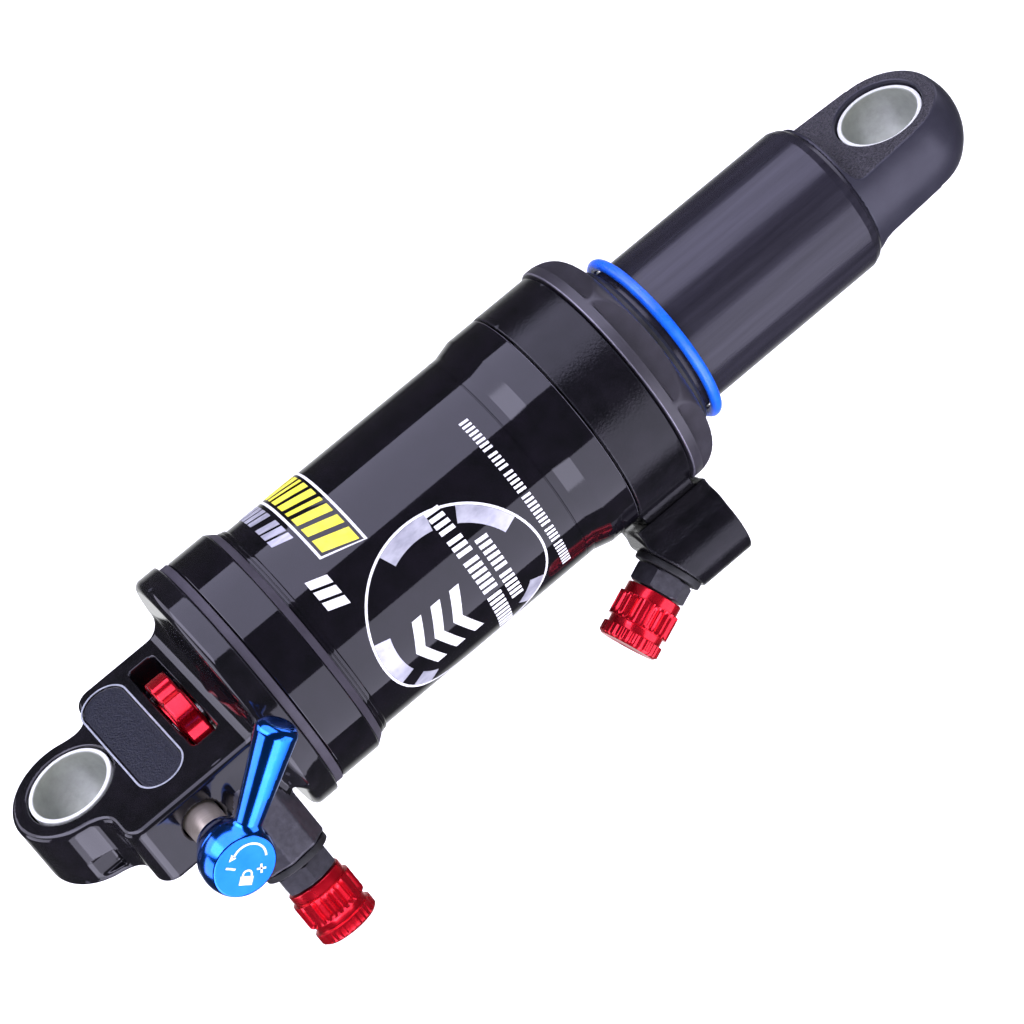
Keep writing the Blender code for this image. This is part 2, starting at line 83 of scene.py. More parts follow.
def material(name, base, tint, rough, spread=0.04, metallic=0.0, specular=0.5, mottle=260.0,
             grain=2200.0, relief=0.05, depth=0.0001, stretch=(1, 1, 1), coat=0.0, wear_and_edge_highlight=None):
    """A surface with mottled colour, uneven gloss and a fine relief, laid out in object space."""
    made = bpy.data.materials.new(name)
    made.use_nodes = True
    tree = made.node_tree
    link = tree.links.new
    shader = tree.nodes["Principled BSDF"]
    shader.inputs["Metallic"].default_value = metallic
    shader.inputs["Specular IOR Level"].default_value = specular
    if coat:
        shader.inputs["Coat Weight"].default_value = coat
        shader.inputs["Coat Roughness"].default_value = 0.08
    coords = tree.nodes.new("ShaderNodeTexCoord")
    mapping = tree.nodes.new("ShaderNodeMapping")
    mapping.inputs["Scale"].default_value = stretch
    link(coords.outputs["Object"], mapping.inputs["Vector"])

    def noise(scale, detail):
        node = tree.nodes.new("ShaderNodeTexNoise")
        node.inputs["Scale"].default_value = scale
        node.inputs["Detail"].default_value = detail
        node.inputs["Roughness"].default_value = 0.6
        link(mapping.outputs["Vector"], node.inputs["Vector"])
        return node.outputs["Fac"]

    def ranged(source, low, high, start=0.3, end=0.7):
        node = tree.nodes.new("ShaderNodeMapRange")
        link(source, node.inputs["Value"])
        node.inputs["From Min"].default_value = start
        node.inputs["From Max"].default_value = end
        node.inputs["To Min"].default_value = low
        node.inputs["To Max"].default_value = high
        return node.outputs["Result"]

    def mixed(factor, first, second):
        node = tree.nodes.new("ShaderNodeMix")
        node.data_type = "RGBA"
        link(factor, node.inputs["Factor"])
        for socket, value in ((node.inputs["A"], first), (node.inputs["B"], second)):
            if isinstance(value, tuple):
                socket.default_value = (*value, 1.0)
            else:
                link(value, socket)
        return node.outputs["Result"]

    patches = noise(mottle, 4.0)
    colour = mixed(ranged(patches, 0.0, 1.0), base, tint)
    # Edges lightened where the mesh is pointy: partly wear, partly a painted highlight standing in
    # for the light that the edges catch.
    if wear_and_edge_highlight:
        geometry = tree.nodes.new("ShaderNodeNewGeometry")
        edges = ranged(geometry.outputs["Pointiness"], 0.0, 0.6, 0.53, 0.62)
        colour = mixed(edges, colour, wear_and_edge_highlight)
    link(colour, shader.inputs["Base Color"])
    smudges = noise(mottle * 0.37, 3.0)
    link(ranged(smudges, rough - spread, rough + spread), shader.inputs["Roughness"])
    bump = tree.nodes.new("ShaderNodeBump")
    bump.inputs["Strength"].default_value = relief
    bump.inputs["Distance"].default_value = depth
    link(noise(grain, 3.0), bump.inputs["Height"])
    link(bump.outputs["Normal"], shader.inputs["Normal"])
    return made


TURNED = (60, 1, 1)
DRAWN = (0.05, 1, 1)
LOOKS = {
    "gloss": material("gloss_paint", (0.004, 0.004, 0.005), (0.009, 0.008, 0.011), 0.07, 0.025,
                      relief=0.02, wear_and_edge_highlight=(0.05, 0.05, 0.06)),
    "can": material("gloss_can", (0.003, 0.003, 0.004), (0.006, 0.005, 0.008), 0.05, 0.02,
                    relief=0.012),
    "matt": material("matt_stripe", (0.040, 0.035, 0.048), (0.055, 0.050, 0.066), 0.55, 0.06,
                     specular=0.3, grain=4200, relief=0.2),
    "satin": material("satin_black", (0.003, 0.003, 0.004), (0.008, 0.007, 0.010), 0.17, 0.04,
                      specular=0.3, grain=2400, relief=0.5, wear_and_edge_highlight=(0.06, 0.06, 0.07)),
    "edge": material("worn_edge", (0.16, 0.15, 0.19), (0.26, 0.25, 0.30), 0.3, 0.06,
                     metallic=0.5, specular=0.7, mottle=500, grain=3000, relief=0.15),
    "head": material("satin_grey", (0.022, 0.020, 0.026), (0.034, 0.031, 0.041), 0.42, 0.05,
                     specular=0.6, grain=3600, relief=0.18, wear_and_edge_highlight=(0.09, 0.09, 0.1)),
    "shaft": material("shaft_anodised", (0.015, 0.014, 0.021), (0.030, 0.028, 0.040), 0.22, 0.05,
                      metallic=0.2, mottle=700, grain=2600, relief=0.1, stretch=DRAWN),
    "eye": material("eye_anodised", (0.026, 0.025, 0.038), (0.034, 0.033, 0.048), 0.36, 0.05,
                    metallic=0.2, specular=0.45, grain=3000, relief=0.12),
    "blasted": material("blasted_flat", (0.004, 0.004, 0.006), (0.085, 0.080, 0.098), 0.5, 0.08,
                        metallic=0.1, mottle=2700, grain=2700, relief=1.0,
                        depth=0.0006),
    "panel": material("panel_navy", (0.004, 0.005, 0.011), (0.013, 0.015, 0.028), 0.42, 0.08,
                      specular=0.35, mottle=1400, grain=2600, relief=0.8, depth=0.0002),
    # rim: a painted highlight for the light on the panel recess's bevel.
    "rim": material("panel_rim_highlight", (0.26, 0.28, 0.34), (0.40, 0.42, 0.48), 0.35, 0.06,
                    specular=0.6, mottle=900, relief=0.3),
    "blue": material("anodised_blue", (0.004, 0.15, 0.80), (0.010, 0.20, 0.94), 0.17, 0.03,
                     metallic=1.0, grain=3000, coat=0.5),
    "stem": material("stem_grey", (0.038, 0.036, 0.045), (0.066, 0.063, 0.078), 0.34, 0.06,
                     metallic=0.3, specular=0.7, mottle=900, grain=3200, relief=0.25),
    "blue_face": material("anodised_blue_face", (0.01, 0.19, 0.95), (0.02, 0.24, 1.0), 0.34, 0.05,
                          metallic=0.85, grain=3200, relief=0.12),
    "red": material("anodised_red", (0.72, 0.004, 0.018), (0.86, 0.010, 0.030), 0.26, 0.04,
                    metallic=0.8, grain=2800, relief=0.08, coat=0.35),
    "ring": material("ring_rubber", (0.004, 0.10, 0.80), (0.012, 0.16, 0.95), 0.3, 0.05,
                     specular=0.6, mottle=500, grain=3600, relief=0.15),
    # The bush's bore colour carries painted shade and its lip colour carries painted light, over
    # the polymer's own grey-green.
    "bush": material("bush_bore_in_shade", (0.26, 0.28, 0.245), (0.34, 0.36, 0.32), 0.36, 0.06,
                     mottle=600, grain=2600, relief=0.15),
    "bush_lit_lip": material("bush_lip_painted_light", (0.62, 0.64, 0.62), (0.74, 0.75, 0.73), 0.34, 0.05,
                          mottle=900, grain=3000, relief=0.12),
    "pin": material("pin_steel", (0.52, 0.45, 0.37), (0.62, 0.55, 0.46), 0.34, 0.05, metallic=0.75,
                    mottle=500, grain=2400, relief=0.08, stretch=(1, 1, 9)),
    "steel": material("ground_steel", (0.42, 0.41, 0.39), (0.55, 0.54, 0.52), 0.24, 0.06,
                      metallic=1.0, mottle=600, relief=0.1, stretch=TURNED),
    "brass": material("turned_brass", (0.52, 0.36, 0.12), (0.66, 0.47, 0.18), 0.26, 0.06,
                      metallic=1.0, mottle=800, relief=0.1),
    "aluminium": material("turned_aluminium", (0.50, 0.51, 0.53), (0.62, 0.63, 0.65), 0.3, 0.06,
                          metallic=1.0, mottle=500, relief=0.12, stretch=TURNED),
    "rubber": material("seal_rubber", (0.012, 0.012, 0.013), (0.022, 0.022, 0.024), 0.52, 0.08,
                       specular=0.4, mottle=700, grain=3000, relief=0.2),
    "bronze": material("bronze_liner", (0.20, 0.12, 0.06), (0.30, 0.20, 0.10), 0.46, 0.08,
                       metallic=0.4, mottle=1500, grain=3600, relief=0.2),
    "white": material("print_white", (0.70, 0.70, 0.74), (0.84, 0.84, 0.86), 0.4, 0.06,
                      specular=0.4, mottle=900, relief=0.08),
    "silver": material("print_silver", (0.34, 0.34, 0.42), (0.58, 0.58, 0.66), 0.34, 0.06,
                       metallic=0.35, mottle=320, relief=0.08, stretch=(1, 1, 3)),
    "yellow": material("print_yellow", (0.80, 0.72, 0.03), (0.92, 0.84, 0.08), 0.38, 0.06,
                       specular=0.4, mottle=700, relief=0.08),
}


# ---------------------------------------------------------------- pieces in mesh code

def place(obj, body, nodes=()):
    """Ties a piece to its body, and hides the CAD nodes that it stands in for."""
    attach(obj, body)
    if nodes:
        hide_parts(*nodes)


def linked(name, data):
    obj = bpy.data.objects.new(name, data)
    bpy.context.scene.collection.objects.link(obj)
    return obj


def dressed(name, mesh, looks):
    for look in looks:
        mesh.materials.append(LOOKS[look])
    return linked(name, mesh)


def rounded(points, segments=4):
    """Replaces each (along, radius, rounding) corner that has a rounding with an arc."""
    out = []
    for i, corner in enumerate(points):
        size = corner[2] if len(corner) > 2 else 0.0
        here = np.array(corner[:2], float)
        if not size:
            out.append(tuple(here))
            continue
        back = np.array(points[i - 1][:2], float) - here
        ahead = np.array(points[(i + 1) % len(points)][:2], float) - here
        back /= np.linalg.norm(back)
        ahead /= np.linalg.norm(ahead)
        half = math.acos(float(np.clip(back @ ahead, -1, 1))) / 2
        centre = here + (back + ahead) / np.linalg.norm(back + ahead) * size / math.sin(half)
        start = here + back * size / math.tan(half) - centre
        end = here + ahead * size / math.tan(half) - centre
        first = math.atan2(start[1], start[0])
        turn = (math.atan2(end[1], end[0]) - first + math.pi) % (2 * math.pi) - math.pi
        for k in range(segments + 1):
            angle = first + turn * k / segments
            out.append((centre[0] + size * math.cos(angle), centre[1] + size * math.sin(angle)))
    return out


def turned(name, profile, body, slot, looks, nodes=(), steps=128, origin=(0, 0, 0),
           axis=(-1, 0, 0), across=(0, -1, 0), shape=None, zone=None):
    """Turns a closed outline of (along, radius, rounding) points round an axis.

    shape gives the radius at (along, radius, angle), and zone the look at (along, radius).
    """
    points = rounded(profile)
    axis = Vector(axis).normalized()
    across = Vector(across).normalized()
    third = axis.cross(across)
    origin = Vector(origin)
    bm = bmesh.new()
    rows = []
    for along, radius in points:
        middle = origin + axis * along
        if radius < 1e-6:
            rows.append([bm.verts.new(middle * MM)] * steps)
            continue
        row = []
        for i in range(steps):
            angle = 2 * math.pi * i / steps
            reach = shape(along, radius, angle) if shape else radius
            row.append(bm.verts.new((middle + (across * math.cos(angle) + third * math.sin(angle))
                                     * reach) * MM))
        rows.append(row)
    for j, (low, high) in enumerate(zip(rows, rows[1:] + rows[:1])):
        (a0, r0), (a1, r1) = points[j], points[(j + 1) % len(points)]
        if r0 < 1e-6 and r1 < 1e-6:
            continue
        index = zone((a0 + a1) / 2, (r0 + r1) / 2) if zone else 0
        for i in range(steps):
            k = (i + 1) % steps
            corners = []
            for vert in (low[i], low[k], high[k], high[i]):
                if vert not in corners:
                    corners.append(vert)
            face = bm.faces.new(corners)
            face.material_index = index
            face.smooth = True
    bmesh.ops.recalc_face_normals(bm, faces=bm.faces)
    mesh = bpy.data.meshes.new(name)
    bm.to_mesh(mesh)
    bm.free()
    mesh.set_sharp_from_angle(angle=math.radians(32))
    obj = dressed(name, mesh, looks)
    weighted = obj.modifiers.new("even_shading", "WEIGHTED_NORMAL")
    weighted.keep_sharp = True
    place(obj, body, nodes)


# ---------------------------------------------------------------- distance fields, in millimetres

def hypot(a, b):
    return np.sqrt(a * a + b * b)


def union(a, b, fillet=0.0):
    if not fillet:
        return np.minimum(a, b)
    return np.maximum(fillet, np.minimum(a, b)) - hypot(np.maximum(fillet - a, 0),
                                                        np.maximum(fillet - b, 0))


def common(a, b, edge=0.0):
    if not edge:
        return np.maximum(a, b)
    return np.minimum(-edge, np.maximum(a, b)) + hypot(np.maximum(edge + a, 0),
                                                       np.maximum(edge + b, 0))


def cut(a, b, edge=0.0):
    return common(a, -b, edge)


def oblong(u, v, u_range, v_range, corner=0.0):
    """A rectangle with round corners. With a radius for v it is a disc seen in its section."""
    a = np.abs(u - sum(u_range) / 2) - (u_range[1] - u_range[0]) / 2 + corner
    b = np.abs(v - sum(v_range) / 2) - (v_range[1] - v_range[0]) / 2 + corner
    return np.minimum(np.maximum(a, b), 0) + hypot(np.maximum(a, 0), np.maximum(b, 0)) - corner


def disc(along, radius, start, end, size, corner=0.0):
    return oblong(along, radius, (start, end), (-size, size), corner)


def brick(x, y, z, low, high, corner):
    q = [np.abs(c - (a + b) / 2) - (b - a) / 2 + corner for c, a, b in zip((x, y, z), low, high)]
    outside = np.sqrt(sum(np.maximum(c, 0) ** 2 for c in q))
    return outside + np.minimum(np.maximum(np.maximum(q[0], q[1]), q[2]), 0) - corner


def along_axis(x, y, z, origin, direction):
    """Distances along an axis and away from it."""
    u, v, w = x - origin[0], y - origin[1], z - origin[2]
    h = u * direction[0] + v * direction[1] + w * direction[2]
    return h, np.sqrt(np.maximum(u * u + v * v + w * w - h * h, 0))


def slopes(field, points, step=0.02):
    """The field and its gradient at points, from four samples round each."""
    corners = ((1, -1, -1), (-1, -1, 1), (-1, 1, -1), (1, 1, 1))
    value = np.zeros(len(points))
    gradient = np.zeros((len(points), 3))
    for corner in corners:
        moved = points + np.array(corner) * step
        sample = field(moved[:, 0], moved[:, 1], moved[:, 2])
        value += sample / 4
        gradient += sample[:, None] * np.array(corner) / (4 * step)
    size = np.linalg.norm(gradient, axis=1)
    return value, gradient / np.maximum(size, 1e-6)[:, None]


def crossing_points(samples, cells, corners):
    """For each cell the mean of the places where its edges cross the surface, in cell units."""
    total = np.zeros((len(cells), 3))
    hits = np.zeros(len(cells))
    for start in corners:
        for axis in range(3):
            if start[axis]:
                continue
            end = tuple(1 if a == axis else c for a, c in enumerate(start))
            a, b = samples[start], samples[end]
            crossed = (a < 0) != (b < 0)
            share = np.where(crossed, a / np.where(crossed, a - b, 1), 0)
            spot = np.repeat(np.array([start], float), len(cells), 0)
            spot[:, axis] += share
            total += spot * crossed[:, None]
            hits += crossed
    return cells + total / hits[:, None]


def crossing_quads(inside, index):
    """A quad for each grid edge that the surface crosses, turned to face out."""
    shape = inside.shape
    quads = []
    for axis in range(3):
        u, v = (axis + 1) % 3, (axis + 2) % 3
        ahead = [slice(None)] * 3
        behind = [slice(None)] * 3
        behind[axis], ahead[axis] = slice(0, -1), slice(1, None)
        first, second = inside[tuple(behind)], inside[tuple(ahead)]
        edges = np.argwhere(first != second)
        edges = edges[(edges[:, u] > 0) & (edges[:, v] > 0)
                      & (edges[:, u] < shape[u] - 1) & (edges[:, v] < shape[v] - 1)]
        outward = first[tuple(edges.T)]
        loop = []
        for du, dv in ((1, 1), (0, 1), (0, 0), (1, 0)):
            spot = edges.copy()
            spot[:, u] -= du
            spot[:, v] -= dv
            loop.append(index[tuple(spot.T)])
        loop = np.stack(loop, 1)
        loop[~outward] = loop[~outward][:, ::-1]
        quads.append(loop)
    return np.concatenate(quads)


def evened(points, quads, field, pitch):
    """Spreads the vertices evenly, bringing them back to the surface after each round."""
    for _ in range(2):
        total = np.zeros_like(points)
        hits = np.zeros(len(points))
        for a, b in ((0, 1), (1, 2), (2, 3), (3, 0)):
            for p, q in ((quads[:, a], quads[:, b]), (quads[:, b], quads[:, a])):
                hits += np.bincount(p, minlength=len(points))
                for c in range(3):
                    total[:, c] += np.bincount(p, points[q, c], len(points))
        points = points * 0.4 + total / hits[:, None] * 0.6
        for _ in range(2):
            value, normal = slopes(field, points)
            points -= normal * np.clip(value, -pitch / 2, pitch / 2)[:, None]
    return points


def moulded(name, field, low, high, pitch, body, looks, nodes=(), zone=None):
    """Meshes the surface of a distance field with one vertex in each grid cell that it crosses."""
    axes = [np.arange(a, b + pitch, pitch, dtype=np.float32) for a, b in zip(low, high)]
    shape = tuple(len(a) for a in axes)
    values = np.broadcast_to(field(*np.meshgrid(*axes, indexing="ij", sparse=True)), shape)
    inside = values < 0
    cells_shape = tuple(n - 1 for n in shape)
    corners = [(i, j, k) for i in (0, 1) for j in (0, 1) for k in (0, 1)]

    def corner_view(array, corner):
        return array[tuple(slice(c, c + n) for c, n in zip(corner, cells_shape))]

    count = sum(corner_view(inside, c).astype(np.int8) for c in corners)
    active = (count > 0) & (count < 8)
    cells = np.argwhere(active)
    index = np.full(cells_shape, -1, np.int64)
    index[active] = np.arange(len(cells))
    samples = {c: corner_view(values, c)[active] for c in corners}
    first_corner = np.array([a[0] for a in axes])
    points = crossing_points(samples, cells, corners) * pitch + first_corner
    quads = crossing_quads(inside, index)
    points = evened(points, quads, field, pitch)
    _, normal = slopes(field, points)

    mesh = bpy.data.meshes.new(name)
    mesh.from_pydata((points * MM).tolist(), [], quads.tolist())
    mesh.polygons.foreach_set("use_smooth", np.ones(len(quads), bool))
    if zone:
        centres = points[quads].mean(1)
        facing = normal[quads].mean(1)
        mesh.polygons.foreach_set("material_index", zone(centres, facing).astype(np.int32))
    mesh.update()
    mesh.normals_split_custom_set_from_vertices(normal.tolist())
    place(dressed(name, mesh, looks), body, nodes)


# ---------------------------------------------------------------- body eyelet

def panel_outline(x, z):
    """The recessed panel on the block's near face."""
    return oblong(x, z, (-15.85, -8.05), (-13.4, 14.1), 3.9)


def eyelet_field(x, y, z):
    station, radius = -x, hypot(y, z)
    ear = hypot(x, z) - 10.35
    upper = oblong(x, z, (-29.5, -1.2), (-4.0, 19.7), 3.2)
    lower = oblong(x, z, (-29.5, -8.4), (-15.9, 6.0), 3.0)
    flat = union(union(ear, lower, 5.5), upper, 3.6)
    edge = 0.95
    a, b = flat + edge, np.abs(y) - EYE_HALF_WIDTH + edge
    solid = np.minimum(np.maximum(a, b), 0) + hypot(np.maximum(a, 0), np.maximum(b, 0)) - edge
    flange = common(disc(station, radius, 26.8, 34.0, 22.1, 1.3), station - 31.2, 0.25)
    solid = union(solid, flange, 3.4)
    h, away = along_axis(x, y, z, MAIN_FOOT, MAIN_DIRECTION)
    quat = MAIN_DIRECTION.to_track_quat("Z", "Y")
    octagon = None
    for i in range(4):
        angle = math.radians(22.5 + 11 + 45 * i)
        normal = quat @ Vector((-math.sin(angle), math.cos(angle), 0))
        side = np.abs((x - MAIN_FOOT[0]) * normal[0] + (y - MAIN_FOOT[1]) * normal[1]
                      + (z - MAIN_FOOT[2]) * normal[2]) - 5.636
        octagon = side if octagon is None else common(octagon, side, 0.25)
    boss = common(common(octagon, h - 23.1, 0.5), 4.0 - h)
    solid = union(solid, boss, 1.1)
    spigot = disc(station, radius, 28.5, 36.0, 17.2, 0.3)
    spigot = cut(spigot, oblong(station, radius, (33.3, 35.1), (15.3, 20.0), 0.1), 0.1)
    solid = union(solid, spigot)
    solid = cut(solid, disc(station, radius, *WHEEL_SLOT, 9.9, 0.2), 0.15)
    window = common(oblong(station, z, WHEEL_SLOT, (-12.0, 12.0), 1.0), y + 1.0)
    solid = cut(solid, window, 0.15)
    solid = cut(solid, oblong(h, away, (14.5, 30.0), (-3.3, 3.3)), 0.25)
    solid = cut(solid, hypot(x, z) - BUSH_GAP_R, 0.45)
    pin = common(hypot(x + PIN_STATION, y) - 3.35, -5.0 - z)
    solid = cut(solid, pin, 0.4)
    solid = cut(solid, disc(station, radius, 13.0, 25.0, 2.7), 0.1)
    solid = cut(solid, disc(station, radius, 24.5, 40.0, 5.3), 0.1)
    solid = cut(solid, brick(x, y, z, (0.8, 0.8, 8.9), (5.8, 4.6, 14.0), 0.7), 0.3)
    return cut(solid, common(panel_outline(x, z), y + 5.7), 0.08)


def eyelet_zone(centres, facing):
    """Paint, but for the panel's ground (1) and the valve boss's facets (2)."""
    x, y, z = centres.T
    h, away = along_axis(x, y, z, MAIN_FOOT, MAIN_DIRECTION)
    boss = (h > 8.0) & (away < 7.2) & (away > 3.5) & ((y > 6.6) | (z > 20.3))
    panel = (y < -5.6) & (y > -5.85) & (panel_outline(x, z) < -0.12)
    return np.where(panel, 1, np.where(boss, 2, 0))


moulded("eyelet_body_cast", eyelet_field, (-36.6, -22.4, -22.4), (10.9, 22.4, 27.6), 0.34,
        "body", ("gloss", "panel", "stem"), ["eyelet_body"], eyelet_zone)


# ---------------------------------------------------------------- bushes and seals

def bush_zone(along, radius):
    """The bore, painted darker as shade on the polymer's own grey-green (0), and the end faces and
    outside round it, painted paler as lit (1).
    """
    return 0 if radius < 6.5 else 1


def bush(name, body, node, station, half):
    turned(name, [(-half, 6.35, 0.15), (-half, 7.15, 0.15), (half, 7.15, 0.15), (half, 6.35, 0.15)],
           body, "bush_polymer", ("bush", "bush_lit_lip"), [node], 96, (-station, 0, 0), (0, 1, 0),
           (1, 0, 0), zone=bush_zone)


bush("body_eye_liner", "body", "body_eye_bush", 0.0, EYE_HALF_WIDTH)
bush("shaft_eye_liner", "damper", "shaft_eye_bush", SHAFT_EYE_STATION, 5.45)

turned("flange_gasket_matt",
       [(31.35, 17.5), (31.35, 21.3, 0.15), (32.85, 21.3, 0.15), (32.85, 17.5)],
       "body", "rubber", ("matt",), ["flange_gasket"])
turned("wiper_lip", [(108.9, 13.65), (108.9, 15.4), (112.0, 15.4, 0.2), (112.6, 14.9, 0.2),
                     (112.8, 13.8, 0.1), (112.3, 13.62)],
       "body", "rubber", ("rubber",), ["wiper_seal"])


def circle(along, radius, size, count=20):
    return [(along + size * math.cos(2 * math.pi * i / count),
             radius + size * math.sin(2 * math.pi * i / count)) for i in range(count)]


turned("travel_o_ring", circle(RING_STATION, 14.72, 0.95), "travel_ring", "blue_rubber", ("ring",),
       ["travel_ring"], 144)


# ---------------------------------------------------------------- air can, collar and seal head

def can_zone(along, radius):
    """Gloss, but for the matt stripe behind the lip (1) and the worn edge at the collar (2)."""
    if along > 93.7 and radius > 19.9:
        return 2
    return 1 if 40.28 < along < 41.62 and radius > 19.6 else 0


turned("air_can_shell", [
    (33.0, 17.5, 0.1), (33.0, 21.2, 0.3), (40.1, 21.2, 0.2), (40.25, 20.95), (40.3, 21.02),
    (41.55, 20.12), (41.65, 19.75, 0.05), (41.8, 19.72), (41.85, 19.9, 0.05), (42.25, 19.86, 0.1),
    (42.3, 19.6), (42.4, 19.6), (42.45, 19.75, 0.08), (42.95, 19.66, 0.12), (43.1, CAN_R, 0.05),
    (83.9, CAN_R), (83.98, CAN_R - 0.12), (84.12, CAN_R - 0.12), (84.2, CAN_R), (85.6, CAN_R, 0.3),
    (88.8, 20.2, 0.4), (93.9, 20.2, 0.25),
    (93.9, 18.7), (102.7, 18.7, 0.2), (102.7, 17.5, 0.2)],
    "body", "black_gloss", ("can", "matt", "edge"), ["air_can"], 192, zone=can_zone)


def collar_field(x, y, z):
    station, radius = -x, hypot(y, z)
    sleeve = disc(station, radius, 94.2, 104.6, 20.25, 0.28)
    up = y * BOSS_OUTWARD.y + z * BOSS_OUTWARD.z
    side = z * BOSS_OUTWARD.y - y * BOSS_OUTWARD.z
    barrel = disc(station, hypot(up - 28.5, side), 92.2, 106.2, 7.0, 0.3)
    root = brick(station, side, up, (94.5, -5.4, 17.0), (104.3, 5.4, 28.1), 0.3)
    web = brick(station, side, up, (92.3, -5.8, 21.15), (106.1, 5.8, 28.1), 0.3)
    solid = union(union(sleeve, root, 0.9), union(web, barrel, 0.8))
    h, away = along_axis(x, y, z, SECOND_SEAT, SECOND_DIRECTION)
    face = common(away - 9.0, -0.6 - h)
    solid = cut(solid, face, 0.2)
    solid = cut(solid, common(away - 3.3, -8.5 - h), 0.2)
    solid = cut(solid, disc(station, radius, 80.0, 103.1, 19.0), 0.1)
    return cut(solid, radius - 17.5, 0.1)


moulded("valve_collar_cast", collar_field, (-106.8, -20.8, -20.8), (-91.6, 32.4, 22.6), 0.32,
        "body", ("satin",), ["valve_collar"])


def from_facet(angle):
    """How far an angle is from the middle of the nearest of six facets."""
    return (angle + math.pi / 6) % (math.pi / 3) - math.pi / 6


def head_shape(along, radius, angle):
    """Six wrench flats on the nose of the seal head."""
    if along < 106.9 or radius < 16.0:
        return radius
    return min(radius, 18.1 / math.cos(from_facet(angle - math.radians(170.0))))


def head_zone(along, radius):
    """Satin, but for the worn edge against the collar (1)."""
    return 1 if along < 105.14 and radius > 20.5 else 0


nose = [(106.2 + 4.8 * math.sin(math.radians(a)), 16.6 + 4.2 * math.cos(math.radians(a)) ** 0.9)
        for a in range(0, 76, 5)]
turned("seal_head_nut", [
    (96.0, 13.8), (96.0, 17.2), (104.9, 17.2), (104.9, 20.8, 0.3)] + nose + [
    (111.0, 17.1, 0.1), (111.0, 15.8, 0.15), (108.6, 15.8), (108.6, 13.8), (107.4, 13.8),
    (107.4, 14.8), (102.6, 14.8), (102.6, 13.8), (101.2, 13.8), (101.2, 15.7), (98.8, 15.7),
    (98.8, 13.8)],
    "body", "black_satin", ("head", "edge"), ["seal_head"], 360, shape=head_shape, zone=head_zone)


# ---------------------------------------------------------------- the sliding half

turned("damper_tube", [
    (83.6, 11.0), (83.6, SHAFT_R, 0.2), (149.6, SHAFT_R, 0.9), (150.9, 13.0, 0.6),
    (151.6, 12.42, 0.15), (151.6, 11.0)],
       "damper", "shaft_satin", ("shaft",), ["damper_body"], 160)


def shaft_eye_field(x, y, z):
    station, radius = -x, hypot(y, z)
    taper = 0.062
    start, ball_station = 151.7, 165.3
    cone = (radius - (12.3 - (station - start) * taper)) * (1 - taper * taper / 2)
    ball = hypot(station - ball_station, radius) - 11.3
    solid = np.where(station < ball_station, cone, ball)
    solid = common(solid, start - station, 0.15)
    solid = union(solid, disc(station, radius, 145.5, 153.0, 10.7, 0.2))
    pocket = oblong(station, z, (152.4, 210.0), (-60.0, 11.0), 3.0)
    pocket = common(pocket, 6.25 - np.abs(y), 0.7)
    solid = cut(solid, pocket, 0.35)
    return cut(solid, hypot(station - SHAFT_EYE_STATION, z) - BUSH_GAP_R, 0.4)


def shaft_eye_zone(centres, facing):
    """Anodised, but for the blasted flats on both sides of the eye (1)."""
    return (np.abs(facing[:, 1]) > 0.9) & (np.abs(centres[:, 1]) < 6.5)


moulded("shaft_eyelet_cast", shaft_eye_field, (-177.4, -12.8, -12.8), (-145.0, 12.8, 12.8), 0.3,
        "damper", ("eye", "blasted"), ["shaft_eyelet"], shaft_eye_zone)


# ---------------------------------------------------------------- controls

def lever_field(x, y, z):
    around = hypot(x + PIN_STATION, y)
    ball = hypot(around, z - HUB_Z) - 5.8
    neck = common((around - 4.1 - (z - 26.0) * 0.35) * 0.94, 24.9 - z, 0.3)
    neck = common(neck, z - 29.0)
    hub = common(union(ball, neck, 0.8), z - HUB_FACE_Z, 0.22)
    u, v = math.cos(LEVER_ANGLE), math.sin(LEVER_ANGLE)
    reach = (x + PIN_STATION) * u + y * v
    off = hypot(y * u - (x + PIN_STATION) * v, z - HUB_Z)
    arm = (off - (1.98 + (reach - 4.3) * 0.081)) * 0.996
    arm = common(common(arm, reach - 22.4, 1.7), 1.0 - reach)
    solid = union(hub, arm, 0.9)
    return cut(solid, common(around - 3.35, z - 29.0), 0.15)


def lever_zone(centres, facing):
    """Gloss, but for the flat face on the hub (1)."""
    return (facing[:, 2] > 0.97) & (centres[:, 2] > 33.5)


moulded("lockout_lever_body", lever_field, (-35.5, -22.5, 24.4), (-5.4, 6.4, 34.9), 0.22,
        "lever", ("blue", "blue_face"), ["lockout_lever"], lever_zone)


def cam_shape(along, radius, angle):
    """The eccentric length in the middle of the pin that pushes the lockout rod."""
    throw, cam_radius = 0.8, 2.2
    if abs(along) > 2.6:
        return radius
    return throw * math.cos(angle) + math.sqrt(cam_radius ** 2 - (throw * math.sin(angle)) ** 2)


turned("lever_pin_turned", [
    (-4.6, 0), (-4.6, 3.05, 0.3), (-2.62, 3.05), (-2.58, 3.05), (2.58, 3.05), (2.62, 3.05),
    (20.0, 3.05), (24.5, 2.95), (28.6, 2.95, 0.2), (28.6, 0)],
       "lever", "steel", ("pin",), ["lever_pin"], 72, (-PIN_STATION, 0, 0), (0, 0, 1), (1, 0, 0),
       shape=cam_shape)


def wheel_field(x, y, z):
    station, radius = -x, hypot(y, z)
    solid = disc(station, radius, WHEEL_STATION - 1.8, WHEEL_STATION + 1.8, 9.3, 0.45)
    teeth, notch_reach = 8, 10.2
    for i in range(teeth):
        angle = math.radians(360 / teeth * i + 7.9)
        notch = hypot(y + notch_reach * math.cos(angle), z - notch_reach * math.sin(angle)) - 2.0
        solid = cut(solid, notch, 0.5)
    solid = union(solid, disc(station, radius, WHEEL_STATION - 2.2, WHEEL_STATION + 2.2, 5.5, 0.2))
    return cut(solid, radius - 2.6, 0.2)


